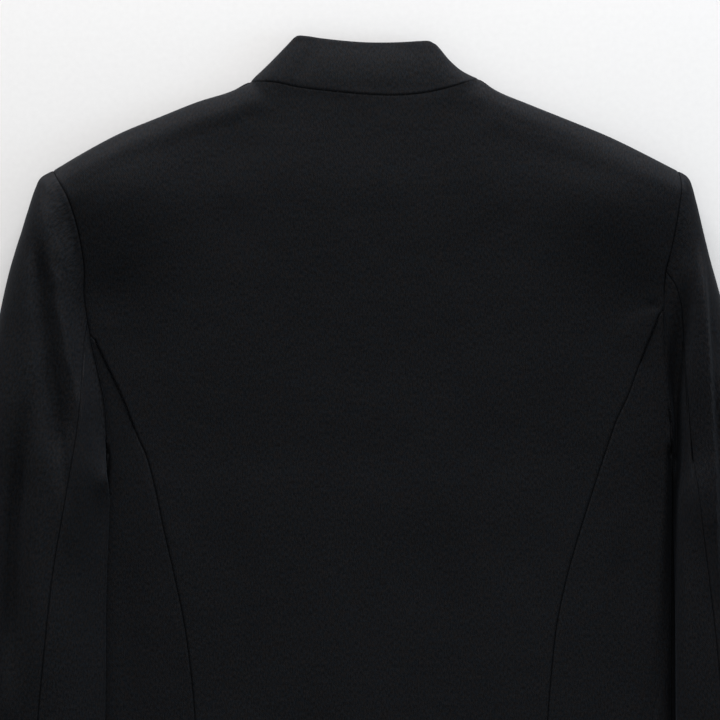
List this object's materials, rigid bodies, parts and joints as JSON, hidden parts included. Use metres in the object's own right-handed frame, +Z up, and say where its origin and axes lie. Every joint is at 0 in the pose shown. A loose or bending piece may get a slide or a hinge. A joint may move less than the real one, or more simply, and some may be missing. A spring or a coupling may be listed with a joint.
{
  "type": "cropped military jacket",
  "caption": "Black tailored jacket with a stand collar, princess back seams and two-piece sleeves, laid face down with its back up.",
  "frame": {"origin": "on the plane that the jacket rests on, under centre front, 184 mm up from the hem", "axes": "+X across the back to the wearer's right, +Y from hem to collar, +Z up from the resting plane, out of the back of the jacket"},
  "size_m": [0.5632, 0.7349, 0.0497],
  "materials": {
    "suiting": "black worsted suiting with a fine twill weave and a faint cool sheen"
  },
  "bodies": {
    "root": {"back": "suiting", "side_back_left": "suiting", "side_back_right": "suiting", "front_left": "suiting", "front_right": "suiting", "collar": "suiting", "top_sleeve_left": "suiting", "top_sleeve_right": "suiting", "under_sleeve_left": "suiting", "under_sleeve_right": "suiting"}
  },
  "joints": []
}
